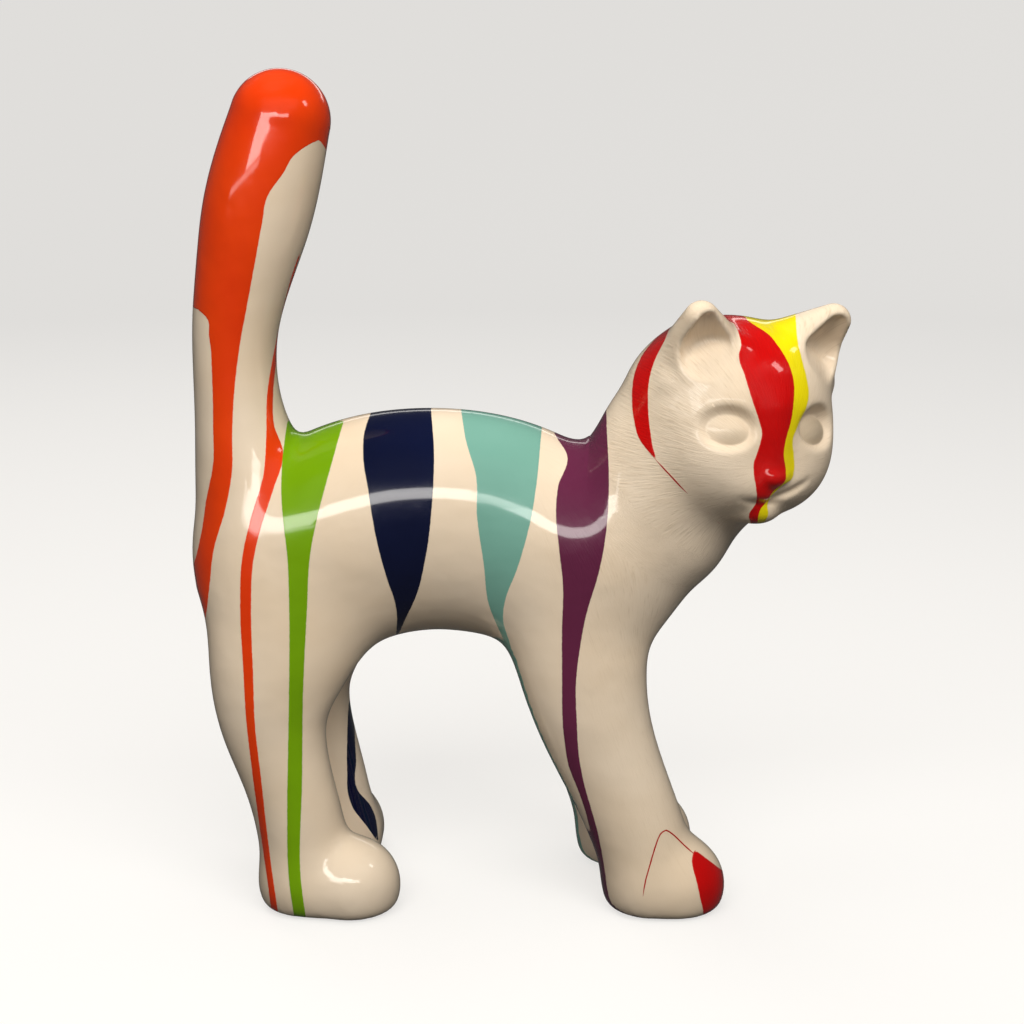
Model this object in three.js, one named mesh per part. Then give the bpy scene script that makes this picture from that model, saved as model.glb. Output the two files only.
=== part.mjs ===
// A resin cat, cast in one piece, that stands on four straight legs with its tail held up.
// Millimetres, +Z up. X runs towards the front of the cat and Y towards its left side.
import * as THREE from 'three';

// Driving dimensions. A section is [x, y, z, half height, half width] of an oval.
const trunkSections = [
  [-124, 0, 192, 46.5, 38.5],
  [-104, 0, 198.5, 56, 43.5],
  [-74, 0, 207, 61, 44.5],
  [-36, 0, 210.5, 60.5, 42.5],
  [0, 0, 204, 60, 43.5],
  [32, 0, 191, 52, 45],
  [54, -2, 194, 44, 44],
];
const tailSections = [
  [-119, 0, 420, 26, 26],
  [-126, 0, 396, 28.5, 28.5],
  [-133, 0, 370, 29, 28.5],
  [-140, 0, 343, 25.2, 26.5],
  [-146, 0, 316, 22.4, 25],
  [-147, 0, 290, 21.5, 25],
  [-145, 0, 262, 23.5, 27],
  [-138, 0, 228, 33.5, 32.5],
  [-124, 0, 192, 46.5, 38.5],
];
const neckSections = [
  [48, -2, 198, 44, 44],
  [71, -6, 221, 43, 42],
  [87, -10, 239, 49, 43],
  [99, -12, 257, 49, 43],
  [105, -14, 270, 49, 43],
];
const chest = { centre: [87.5, -10, 206], radii: [28, 32, 29] };

// A leg's sections hold its distance from the middle instead of y.
const hindSections = [
  [-111, 12, 186, 47, 30],
  [-120, 22, 156, 44, 28],
  [-128, 28, 126, 35, 25],
  [-129, 30, 102, 28, 22],
  [-122, 31, 76, 23.5, 21],
  [-115, 31, 48, 23.5, 22],
  [-111, 31, 16, 25, 23],
];
const frontSections = [
  [42, 14, 188, 46, 32],
  [36, 22, 158, 40, 28],
  [37, 27, 136, 35, 25],
  [42, 30, 111, 31, 23],
  [50, 31, 88, 28, 22],
  [60, 32, 65, 26, 22],
  [69, 33, 42, 25.5, 22.5],
  [77, 33, 16, 25.5, 23.5],
];
// Stride is how far a foot stands ahead of its fellow, a higher bend makes the leg follow the foot
// further up, and toe is the foot's x and y.
const legs = [
  { sections: hindSections, side: -1, stride: 0, bend: 1, toe: [-87.5, -35] },
  { sections: hindSections, side: 1, stride: 8, bend: 5, toe: [-102, 46] },
  { sections: frontSections, side: -1, stride: 0, bend: 1, toe: [89.5, -33] },
  { sections: frontSections, side: 1, stride: -12, bend: 1.5, toe: [77, 33] },
];
const paw = { height: 12.5, halfHeight: 26.5, halfWidth: 25.5 };
const legTop = 188;
const headCentre = [117.7, -18, 268.4];
const headTurn = { yaw: -67.5, pitch: 3, roll: 4 }; // degrees

// Cell of the fine surface, and the number of triangles kept of it
const cell = 2.8;
const keptTriangles = 9600;
const faceCare = 7; // how much more a change of the face counts than one of the body
const lowCorner = [-196, -84, -6];
const highCorner = [190, 84, 462];

// Joins and cuts of two distances, rounded over the width k
function join(a, b, k) {
  const h = Math.max(k - Math.abs(a - b), 0) / k;
  return Math.min(a, b) - h * h * h * k / 6;
}

function cut(a, b, k) {
  return -join(-a, b, k);
}

function clamp(value, low, high) {
  return Math.min(Math.max(value, low), high);
}

function ellipsoid(x, y, z, [cx, cy, cz], [rx, ry, rz]) {
  return (Math.hypot((x - cx) / rx, (y - cy) / ry, (z - cz) / rz) - 1) * Math.min(rx, ry, rz);
}

// A cone with round ends, of radius ra at a and rb at b
function roundCone(x, y, z, a, b, ra, rb) {
  const axis = [b[0] - a[0], b[1] - a[1], b[2] - a[2]];
  const length = Math.hypot(...axis);
  const [qx, qy, qz] = [x - a[0], y - a[1], z - a[2]];
  const along = (qx * axis[0] + qy * axis[1] + qz * axis[2]) / length;
  const across = Math.sqrt(Math.max(qx * qx + qy * qy + qz * qz - along * along, 0));
  const slope = (ra - rb) / length;
  const h = clamp((along - across * slope / Math.sqrt(1 - slope * slope)) / length, 0, 1);
  return Math.hypot(along - h * length, across) - (ra + h * (rb - ra));
}

// An oval tube along the smooth cubic curve of its sections
class Tube {
  constructor(sections) {
    const last = sections.length - 1;
    const beyond = (end, next) => end.map((value, i) => 2 * value - next[i]);
    this.knots = [
      beyond(sections[0], sections[1]), ...sections, beyond(sections[last], sections[last - 1]),
    ];
    this.spans = last;
    this.low = [0, 1, 2].map((i) => Math.min(...sections.map((s) => s[i] - Math.max(s[3], s[4]))));
    this.high = [0, 1, 2].map((i) => Math.max(...sections.map((s) => s[i] + Math.max(s[3], s[4]))));
    this.steps = 3 * this.spans;
    this.course = [];
    for (let k = 0; k <= this.steps; k += 1) this.course.push(this.at(k / 3, 0));
  }

  // The curve's section at t, or its first or second derivative
  at(t, order) {
    const i = Math.min(Math.floor(t), this.spans - 1);
    const u = t - i;
    const weights = [
      [(1 - u) ** 3 / 6, (3 * u ** 3 - 6 * u ** 2 + 4) / 6,
        (-3 * u ** 3 + 3 * u ** 2 + 3 * u + 1) / 6, u ** 3 / 6],
      [-((1 - u) ** 2) / 2, (3 * u ** 2 - 4 * u) / 2, (-3 * u ** 2 + 2 * u + 1) / 2, u ** 2 / 2],
      [1 - u, 3 * u - 2, 1 - 3 * u, u],
    ][order];
    const out = [0, 0, 0, 0, 0];
    for (let j = 0; j < 4; j += 1) {
      for (let c = 0; c < 5; c += 1) out[c] += weights[j] * this.knots[i + j][c];
    }
    return out;
  }

  distance(x, y, z) {
    const p = [x, y, z];
    const away = Math.hypot(...p.map((v, i) => Math.max(this.low[i] - v, v - this.high[i], 0)));
    if (away > 30) return away;
    let best = Infinity;
    let t = 0;
    for (let k = 0; k < this.steps; k += 1) {
      const [ax, ay, az] = this.course[k];
      const [bx, by, bz] = this.course[k + 1];
      const [ex, ey, ez] = [bx - ax, by - ay, bz - az];
      const along = ((x - ax) * ex + (y - ay) * ey + (z - az) * ez) / (ex * ex + ey * ey + ez * ez);
      const h = clamp(along, 0, 1);
      const d = (x - ax - h * ex) ** 2 + (y - ay - h * ey) ** 2 + (z - az - h * ez) ** 2;
      if (d < best) {
        best = d;
        t = (k + h) / 3;
      }
    }
    for (let turn = 0; turn < 2; turn += 1) {
      const c = this.at(t, 0);
      const first = this.at(t, 1);
      const second = this.at(t, 2);
      let slope = 0;
      let speed = 0;
      let bend = 0;
      for (let i = 0; i < 3; i += 1) {
        slope += (p[i] - c[i]) * first[i];
        speed += first[i] * first[i];
        bend += (p[i] - c[i]) * second[i];
      }
      t = clamp(t + clamp(slope / Math.max(speed - bend, 0.4 * speed), -0.4, 0.4), 0, this.spans);
    }
    const [cx, cy, cz, tall, wide] = this.at(t, 0);
    const reach = Math.sqrt(((x - cx) ** 2 + (z - cz) ** 2) / tall ** 2 + (y - cy) ** 2 / wide ** 2);
    return (reach - 1) * Math.min(tall, wide);
  }
}

// The head, in its own frame: f towards the nose, l towards its left and u up
const radians = Math.PI / 180;
const yaw = headTurn.yaw * radians;
const pitch = headTurn.pitch * radians;
const roll = headTurn.roll * radians;
const forward = new THREE.Vector3(
  Math.cos(yaw) * Math.cos(pitch), Math.sin(yaw) * Math.cos(pitch), -Math.sin(pitch));
const levelLeft = new THREE.Vector3(-Math.sin(yaw), Math.cos(yaw), 0);
const levelUp = forward.clone().cross(levelLeft);
const left = levelLeft.clone().multiplyScalar(Math.cos(roll)).addScaledVector(levelUp, -Math.sin(roll));
const up = levelUp.clone().multiplyScalar(Math.cos(roll)).addScaledVector(levelLeft, Math.sin(roll));

function ear(f, side, u) {
  const cone = roundCone(f, side, u, [1, 24, 26], [19.5, 38.5, 55.2], 26, 9);
  const scoop = roundCone(f, side, u, [25, 35, 38], [26, 37.5, 53], 14.5, 6);
  return cut(cone, scoop, 5);
}

// The eye is a flat oval in a soft socket, turned outwards with the side of the head
const eyeCentre = [36, 25.5, -3.5];
const eyeTurn = 28 * radians;

function eyeFrame(f, side, u) {
  const [df, ds, du] = [f - eyeCentre[0], side - eyeCentre[1], u - eyeCentre[2]];
  const out = df * Math.cos(eyeTurn) + ds * Math.sin(eyeTurn);
  const across = df * Math.sin(eyeTurn) - ds * Math.cos(eyeTurn);
  return [out, across, du];
}

function head(f, l, u) {
  const side = Math.abs(l);
  let d = ellipsoid(f, l, u, [-3, 0, 7], [45, 50, 44.5]);
  d = join(d, ellipsoid(f, side, u, [8, 19, -15], [33, 27, 28]), 24);
  d = join(d, ellipsoid(f, l, u, [15, 0, -27], [26, 32, 22]), 18);
  d = join(d, ear(f, side, u), 7);
  d = join(d, roundCone(f, side, u, [16, 14, 36], [7, 42, 20], 10, 8), 6); // brow below the ear
  d = join(d, ellipsoid(f, side, u, [27, 8, -25], [17, 15, 12]), 12); // muzzle
  d = join(d, roundCone(f, l, u, [33, 0, 12], [39, 0, -15.5], 9, 7), 10); // bridge of the nose
  d = join(d, ellipsoid(f, l, u, [41.5, 0, -20.5], [8, 8.8, 6.2]), 3); // nose
  d = join(d, ellipsoid(f, side, u, [33, 6.5, -30], [10, 9, 6.5]), 4); // lips
  d = join(d, ellipsoid(f, l, u, [28, 0, -41], [12, 12, 8]), 7); // chin
  const mouthPart = clamp((f - 14) / 12, 0, 1) * clamp((19 - side) / 10, 0, 1) * clamp((8 - l) / 6, 0, 1);
  d += mouthPart * Math.exp(-(((u + 35 - 0.008 * side * side) / 2.4) ** 2));
  // A crease runs from below the nose up over its left cheek
  const foldPart = clamp((f - 20) / 10, 0, 1) * clamp((l + 2) / 4, 0, 1) * clamp((22 - l) / 9, 0, 1);
  d += 1.5 * foldPart * Math.exp(-(((u + 32.5 - 0.45 * l) / 2.6) ** 2));
  const [out, across, high] = eyeFrame(f, side, u);
  d = cut(d, ellipsoid(out, across, high, [6.4, 0, 8], [13.5, 16.8, 11.5]), 5);
  return join(d, ellipsoid(out, across, high, [-7, -0.5, 0.5], [8, 14.2, 10.2]), 0.8);
}

function headInPlace(x, y, z) {
  const [dx, dy, dz] = [x - headCentre[0], y - headCentre[1], z - headCentre[2]];
  const away = Math.hypot(dx, dy, dz) - 85;
  if (away > 25) return away;
  const along = (axis) => dx * axis.x + dy * axis.y + dz * axis.z;
  return head(along(forward), along(left), along(up));
}

// A leg with its paw; the foot of the far legs stands a stride away from that of the near ones
function legShape({ sections, side, stride, bend, toe }) {
  const placed = sections.map(([x, out, z, tall, wide]) => (
    [x + stride * (1 - (z / legTop) ** bend), side * out, z, tall, wide]));
  const heel = placed[placed.length - 1];
  const { height, halfHeight, halfWidth } = paw;
  const middle = [(heel[0] + toe[0]) / 2, (heel[1] + toe[1]) / 2];
  const foot = [
    [heel[0], heel[1], height, halfHeight - 1, halfWidth - 1.5],
    [...middle, height, halfHeight - 0.5, halfWidth - 0.5],
    [...toe, height, halfHeight, halfWidth],
  ];
  return [new Tube(placed), new Tube(foot)];
}

const trunk = new Tube(trunkSections);
const tail = new Tube(tailSections);
const neck = new Tube(neckSections);
const limbs = legs.map(legShape);

// Distance from a point to the surface of the cat, below zero inside
function cat(x, y, z) {
  let body = join(trunk.distance(x, y, z), tail.distance(x, y, z), 10);
  body = join(body, neck.distance(x, y, z), 16);
  body = join(body, ellipsoid(x, y, z, chest.centre, chest.radii), 14);
  const near = Math.min(body, 30);
  let lift = 0; // how far the legs raise the surface over the body, a smooth largest value
  for (const [leg, foot] of limbs) {
    const limb = join(leg.distance(x, y, z), foot.distance(x, y, z), 14);
    lift += ((near - join(near, limb, 24)) / 30) ** 8;
  }
  const whole = join(near - 30 * lift ** 0.125, headInPlace(x, y, z), 12);
  return cut(whole, z, 8); // the flat underside of the feet
}

// Surface nets: one vertex in each cell that the surface crosses, one square at each crossed edge
function surface() {
  const count = [0, 1, 2].map((i) => Math.ceil((highCorner[i] - lowCorner[i]) / cell) + 1);
  const [nx, ny, nz] = count;
  const index = (i, j, k) => (i * ny + j) * nz + k;
  const values = new Float64Array(nx * ny * nz);
  const place = (i, j, k) => [i, j, k].map((n, axis) => lowCorner[axis] + n * cell);
  const coarse = 4; // corners of every fourth cell are worked out first, the rest near the surface
  const far = coarse * cell * 1.9;
  for (let i = 0; i < nx; i += coarse) {
    for (let j = 0; j < ny; j += coarse) {
      for (let k = 0; k < nz; k += coarse) {
        const middle = place(i + 1.5, j + 1.5, k + 1.5);
        const d = cat(...middle);
        for (let a = i; a < Math.min(i + coarse, nx); a += 1) {
          for (let b = j; b < Math.min(j + coarse, ny); b += 1) {
            for (let c = k; c < Math.min(k + coarse, nz); c += 1) {
              values[index(a, b, c)] = Math.abs(d) > far ? d : cat(...place(a, b, c));
            }
          }
        }
      }
    }
  }
  const corners = [];
  for (let n = 0; n < 8; n += 1) corners.push([n >> 2 & 1, n >> 1 & 1, n & 1]);
  const edges = [];
  for (let a = 0; a < 8; a += 1) {
    for (let bit = 1; bit < 8; bit <<= 1) if (!(a & bit)) edges.push([a, a | bit]);
  }
  // Where two inside corners of a cell meet only across a diagonal, one more corner is filled,
  // so that no edge of the surface is shared by four triangles.
  const faces = [];
  for (const bit of [1, 2, 4]) {
    const [p, q] = [1, 2, 4].filter((other) => other !== bit);
    for (const base of [0, bit]) faces.push([base, base | p | q, base | p, base | q]);
  }
  const fill = (spots) => {
    const best = spots.reduce((a, b) => (values[a] < values[b] ? a : b));
    values[best] = -0.05 * cell;
    return true;
  };
  let changed = true;
  while (changed) {
    changed = false;
    for (let i = 0; i < nx - 1; i += 1) {
      for (let j = 0; j < ny - 1; j += 1) {
        for (let k = 0; k < nz - 1; k += 1) {
          const spots = corners.map(([a, b, c]) => index(i + a, j + b, k + c));
          const inside = spots.filter((s) => values[s] < 0);
          if (inside.length < 2 || inside.length > 6) continue;
          const isIn = spots.map((s) => values[s] < 0);
          for (const [p, q, r, s] of faces) {
            if (isIn[p] !== isIn[q] || isIn[r] !== isIn[s] || isIn[p] === isIn[r]) continue;
            changed = fill((isIn[p] ? [r, s] : [p, q]).map((n) => spots[n]));
          }
          for (let n = 0; n < 4; n += 1) {
            if (isIn[n] !== isIn[7 - n]) continue;
            const pair = [spots[n], spots[7 - n]];
            const others = spots.filter((s) => !pair.includes(s));
            if (inside.length === 2 && isIn[n]) changed = fill(others);
            if (inside.length === 6 && !isIn[n]) changed = fill(pair);
          }
        }
      }
    }
  }
  const points = [];
  const pointOf = new Int32Array(nx * ny * nz).fill(-1);
  for (let i = 0; i < nx - 1; i += 1) {
    for (let j = 0; j < ny - 1; j += 1) {
      for (let k = 0; k < nz - 1; k += 1) {
        const d = corners.map(([a, b, c]) => values[index(i + a, j + b, k + c)]);
        const inside = d.filter((v) => v < 0).length;
        if (inside === 0 || inside === 8) continue;
        const sum = [0, 0, 0];
        let crossed = 0;
        for (const [a, b] of edges) {
          if (d[a] < 0 === d[b] < 0) continue;
          const t = d[a] / (d[a] - d[b]);
          for (let axis = 0; axis < 3; axis += 1) {
            sum[axis] += corners[a][axis] + t * (corners[b][axis] - corners[a][axis]);
          }
          crossed += 1;
        }
        pointOf[index(i, j, k)] = points.length;
        points.push(place(i + sum[0] / crossed, j + sum[1] / crossed, k + sum[2] / crossed));
      }
    }
  }
  const triangles = [];
  const square = (a, b, c, d, turned) => {
    const [p, q, r, s] = turned ? [a, d, c, b] : [a, b, c, d];
    triangles.push([p, q, r], [p, r, s]);
  };
  const at = (i, j, k) => pointOf[index(i, j, k)];
  for (let i = 1; i < nx - 1; i += 1) {
    for (let j = 1; j < ny - 1; j += 1) {
      for (let k = 1; k < nz - 1; k += 1) {
        const here = values[index(i, j, k)] < 0;
        if (here !== values[index(i + 1, j, k)] < 0) {
          square(at(i, j - 1, k - 1), at(i, j, k - 1), at(i, j, k), at(i, j - 1, k), !here);
        }
        if (here !== values[index(i, j + 1, k)] < 0) {
          square(at(i - 1, j, k - 1), at(i - 1, j, k), at(i, j, k), at(i, j, k - 1), !here);
        }
        if (here !== values[index(i, j, k + 1)] < 0) {
          square(at(i - 1, j - 1, k), at(i, j - 1, k), at(i, j, k), at(i - 1, j, k), !here);
        }
      }
    }
  }
  return { points, triangles };
}

// Moves each point onto the surface, along the slope of the distance
function settle(point) {
  const step = 0.05;
  for (let turn = 0; turn < 3; turn += 1) {
    const [x, y, z] = point;
    const d = cat(x, y, z);
    const slope = [cat(x + step, y, z) - d, cat(x, y + step, z) - d, cat(x, y, z + step) - d];
    const steep = slope.reduce((sum, s) => sum + s * s, 0) / (step * step);
    for (let axis = 0; axis < 3; axis += 1) {
      point[axis] -= clamp(d * slope[axis] / step / Math.max(steep, 0.2), -1, 1);
    }
  }
}

const cross = (a, b) => [a[1] * b[2] - a[2] * b[1], a[2] * b[0] - a[0] * b[2], a[0] * b[1] - a[1] * b[0]];
const minus = (a, b) => [a[0] - b[0], a[1] - b[1], a[2] - b[2]];
const dot = (a, b) => a[0] * b[0] + a[1] * b[1] + a[2] * b[2];

// A heap of edges, the cheapest on top
class Heap {
  constructor() {
    this.items = [];
  }

  push(item) {
    const { items } = this;
    let i = items.push(item) - 1;
    while (i > 0) {
      const parent = (i - 1) >> 1;
      if (items[parent].cost <= items[i].cost) break;
      [items[parent], items[i]] = [items[i], items[parent]];
      i = parent;
    }
  }

  pop() {
    const { items } = this;
    const top = items[0];
    const last = items.pop();
    if (items.length === 0) return top;
    items[0] = last;
    let i = 0;
    for (;;) {
      let least = i;
      for (const child of [2 * i + 1, 2 * i + 2]) {
        if (child < items.length && items[child].cost < items[least].cost) least = child;
      }
      if (least === i) return top;
      [items[least], items[i]] = [items[i], items[least]];
      i = least;
    }
  }
}

// Joins neighbouring points, the pair that changes the surface least first, until few are left.
// A point's quadric [xx, xy, xz, yy, yz, zz, x, y, z, 1] sums the squared distances to the planes
// of the triangles that it stands for.
function thin({ points, triangles }, wanted) {
  const around = points.map(() => new Set());
  triangles.forEach((triangle, n) => triangle.forEach((p) => around[p].add(n)));
  const quadrics = points.map(() => new Float64Array(10));
  for (const [a, b, c] of triangles) {
    const normal = cross(minus(points[b], points[a]), minus(points[c], points[a]));
    const size = Math.hypot(...normal);
    const [x, y, z] = normal.map((v) => v / size);
    const w = -dot([x, y, z], points[a]);
    const care = Math.hypot(...minus(points[a], headCentre)) < 72 ? faceCare : 1;
    const plane = [x * x, x * y, x * z, y * y, y * z, z * z, x * w, y * w, z * w, w * w];
    for (const p of [a, b, c]) plane.forEach((v, i) => { quadrics[p][i] += v * size * care; });
  }
  const error = (q, [x, y, z]) => q[0] * x * x + q[3] * y * y + q[5] * z * z + q[9]
    + 2 * (q[1] * x * y + q[2] * x * z + q[4] * y * z + q[6] * x + q[7] * y + q[8] * z);
  const versions = new Int32Array(points.length);
  const heap = new Heap();

  // The best single point for an edge, held near its middle, and the edge's cost
  const offer = (a, b) => {
    const q = quadrics[a].map((v, i) => v + quadrics[b][i]);
    const middle = points[a].map((v, i) => (v + points[b][i]) / 2);
    const length = Math.hypot(...minus(points[a], points[b]));
    const hold = 1e-3 * (q[0] + q[3] + q[5]);
    const matrix = new THREE.Matrix3(
      q[0] + hold, q[1], q[2], q[1], q[3] + hold, q[4], q[2], q[4], q[5] + hold);
    const right = new THREE.Vector3(
      hold * middle[0] - q[6], hold * middle[1] - q[7], hold * middle[2] - q[8]);
    const best = right.applyMatrix3(matrix.invert()).toArray();
    const spot = Math.hypot(...minus(best, middle)) < length ? best : middle;
    const cost = Math.max(error(q, spot), 0) + 0.002 * length ** 4;
    heap.push({ cost, a, b, spot, version: versions[a] + versions[b] });
  };
  const neighbours = (p) => {
    const found = new Set();
    for (const n of around[p]) triangles[n].forEach((other) => found.add(other));
    found.delete(p);
    return found;
  };
  points.forEach((_, p) => neighbours(p).forEach((other) => { if (p < other) offer(p, other); }));

  let left = triangles.length;
  while (left > wanted && heap.items.length > 0) {
    const { a, b, spot, version } = heap.pop();
    if (!around[a] || !around[b] || version !== versions[a] + versions[b]) continue;
    const nearA = neighbours(a);
    const shared = [...neighbours(b)].filter((p) => nearA.has(p));
    if (shared.length !== 2 || !nearA.has(b)) continue;
    const gone = [...around[a]].filter((n) => around[b].has(n));
    const staying = [...around[a], ...around[b]].filter((n) => !gone.includes(n));
    const folds = staying.some((n) => {
      const old = triangles[n].map((p) => points[p]);
      const moved = triangles[n].map((p) => (p === a || p === b ? spot : points[p]));
      const before = cross(minus(old[1], old[0]), minus(old[2], old[0]));
      const after = cross(minus(moved[1], moved[0]), minus(moved[2], moved[0]));
      const longest = Math.max(...[0, 1, 2].map((i) => {
        const side = minus(moved[i], moved[(i + 1) % 3]);
        return dot(side, side);
      }));
      const area = Math.hypot(...after);
      return dot(before, after) < 0.5 * Math.hypot(...before) * area || area < 0.08 * longest;
    });
    if (folds) continue;
    points[a] = spot;
    quadrics[a] = quadrics[a].map((v, i) => v + quadrics[b][i]);
    for (const n of gone) {
      triangles[n].forEach((p) => around[p].delete(n));
      triangles[n] = null;
    }
    for (const n of around[b]) {
      triangles[n] = triangles[n].map((p) => (p === b ? a : p));
      around[a].add(n);
    }
    around[b] = null;
    left -= gone.length;
    versions[a] += versions[b] + 1;
    neighbours(a).forEach((other) => offer(a, other));
  }
  return { points, triangles: triangles.filter((triangle) => triangle) };
}

function buildGeometry() {
  const fine = surface();
  fine.points.forEach(settle);
  const flatten = (point) => {
    if (point[2] < 0.3) point[2] = 0;
  };
  fine.points.forEach(flatten);
  const { points, triangles } = thin(fine, keptTriangles);
  points.forEach(flatten);
  const used = new Map();
  const kept = [];
  const order = triangles.flat().map((p) => {
    if (!used.has(p)) {
      used.set(p, kept.length);
      kept.push(points[p]);
    }
    return used.get(p);
  });
  const geometry = new THREE.BufferGeometry();
  geometry.setAttribute('position', new THREE.Float32BufferAttribute(kept.flat(), 3));
  geometry.setIndex(order);
  // The origin is the middle of the box on the floor.
  geometry.computeBoundingBox();
  const middle = geometry.boundingBox.getCenter(new THREE.Vector3());
  geometry.translate(-middle.x, -middle.y, 0);
  geometry.computeVertexNormals();
  return geometry;
}

const glaze = new THREE.MeshStandardMaterial({ color: 0xe9d6bb, roughness: 0.22, metalness: 0 });
const sculpture = new THREE.Mesh(buildGeometry(), glaze);
sculpture.name = 'cat';

const group = new THREE.Group();
group.add(sculpture);

export default group;
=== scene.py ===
import math

import bpy
import numpy as np
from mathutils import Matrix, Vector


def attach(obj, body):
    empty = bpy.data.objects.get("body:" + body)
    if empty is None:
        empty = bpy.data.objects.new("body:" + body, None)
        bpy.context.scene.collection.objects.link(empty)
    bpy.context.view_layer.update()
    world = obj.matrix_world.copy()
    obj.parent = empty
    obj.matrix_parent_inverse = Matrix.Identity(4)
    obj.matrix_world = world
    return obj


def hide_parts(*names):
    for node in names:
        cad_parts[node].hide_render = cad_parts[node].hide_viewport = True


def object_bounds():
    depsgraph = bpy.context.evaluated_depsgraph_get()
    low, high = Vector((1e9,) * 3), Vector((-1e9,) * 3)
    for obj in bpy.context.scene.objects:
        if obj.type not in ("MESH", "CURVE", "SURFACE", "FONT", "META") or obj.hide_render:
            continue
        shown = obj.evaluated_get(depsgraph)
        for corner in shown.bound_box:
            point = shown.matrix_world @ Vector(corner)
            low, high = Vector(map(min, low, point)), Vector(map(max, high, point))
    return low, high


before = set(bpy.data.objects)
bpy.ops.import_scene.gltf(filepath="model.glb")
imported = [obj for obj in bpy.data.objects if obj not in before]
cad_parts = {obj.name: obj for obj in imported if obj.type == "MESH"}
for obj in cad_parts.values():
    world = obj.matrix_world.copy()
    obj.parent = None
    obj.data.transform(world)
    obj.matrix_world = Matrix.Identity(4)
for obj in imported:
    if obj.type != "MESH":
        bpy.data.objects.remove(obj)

mm = 0.001
cadBox = [[float(value) for value in corner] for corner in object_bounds()]

# The cat is shaped in millimetres: x towards its front, y towards its left side, z up.
# A section is x, y, z, half height and half width of an oval.
trunkSections = [
    (-124, 0, 192, 46.5, 38.5),
    (-104, 0, 198.5, 56, 43.5),
    (-74, 0, 207, 61, 44.5),
    (-36, 0, 210.5, 60.5, 42.5),
    (0, 0, 204, 60, 43.5),
    (32, 0, 191, 52, 45),
    (54, -2, 194, 44, 44),
]
tailSections = [
    (-119, 0, 420, 26, 26),
    (-126, 0, 396, 28.5, 28.5),
    (-133, 0, 370, 29, 28.5),
    (-140, 0, 343, 25.2, 26.5),
    (-146, 0, 316, 22.4, 25),
    (-147, 0, 290, 21.5, 25),
    (-145, 0, 262, 23.5, 27),
    (-138, 0, 228, 33.5, 32.5),
    (-124, 0, 192, 46.5, 38.5),
]
neckSections = [
    (48, -2, 198, 44, 44),
    (71, -6, 221, 43, 42),
    (87, -10, 239, 49, 43),
    (99, -12, 257, 49, 43),
    (105, -14, 270, 49, 43),
]
chest = {"centre": (87.5, -10, 206), "radii": (28, 32, 29)}

# A leg's sections hold its distance from the middle instead of y.
hindSections = [
    (-111, 12, 186, 47, 30),
    (-120, 22, 156, 44, 28),
    (-128, 28, 126, 35, 25),
    (-129, 30, 102, 28, 22),
    (-122, 31, 76, 23.5, 21),
    (-115, 31, 48, 23.5, 22),
    (-111, 31, 16, 25, 23),
]
frontSections = [
    (42, 14, 188, 46, 32),
    (36, 22, 158, 40, 28),
    (37, 27, 136, 35, 25),
    (42, 30, 111, 31, 23),
    (50, 31, 88, 28, 22),
    (60, 32, 65, 26, 22),
    (69, 33, 42, 25.5, 22.5),
    (77, 33, 16, 25.5, 23.5),
]
legs = [  # stride: how far the foot stands ahead of its fellow, bend: how late the leg follows, toe: x and y
    {"sections": hindSections, "side": -1, "stride": 0, "bend": 1, "toe": (-87.5, -35)},
    {"sections": hindSections, "side": 1, "stride": 8, "bend": 5, "toe": (-102, 46)},
    {"sections": frontSections, "side": -1, "stride": 0, "bend": 1, "toe": (89.5, -33)},
    {"sections": frontSections, "side": 1, "stride": -12, "bend": 1.5, "toe": (77, 33)},
]
paw = {"height": 12.5, "halfHeight": 26.5, "halfWidth": 25.5}
legTop = 188
headCentre = np.array([117.7, -18, 268.4])
headTurn = {"yaw": -67.5, "pitch": 3.0, "roll": 4.0}  # degrees

fineness = {
    "cell": 2.66,  # millimetres
    "block": 4,  # cells
    "headReach": 86,  # triangles closer to the middle of the head than this are split once
    "faceReach": 27,  # and those this close to an eye or the nose twice
    "evenings": 3,
}


def join(a, b, k):
    h = np.maximum(k - np.abs(a - b), 0) / k
    return np.minimum(a, b) - h * h * h * k / 6


def cut(a, b, k):
    return -join(-a, b, k)


def ellipsoid(p, centre, radii):
    q = (p - np.array(centre)) / np.array(radii)
    return (np.sqrt((q * q).sum(1)) - 1) * min(radii)


def roundCone(p, a, b, ra, rb):
    a, b = np.array(a, float), np.array(b, float)
    axis = b - a
    length = np.linalg.norm(axis)
    q = p - a
    along = q @ axis / length
    across = np.sqrt(np.maximum((q * q).sum(1) - along * along, 0))
    slope = (ra - rb) / length
    h = np.clip((along - across * slope / math.sqrt(1 - slope * slope)) / length, 0, 1)
    return np.hypot(along - h * length, across) - (ra + h * (rb - ra))


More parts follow.
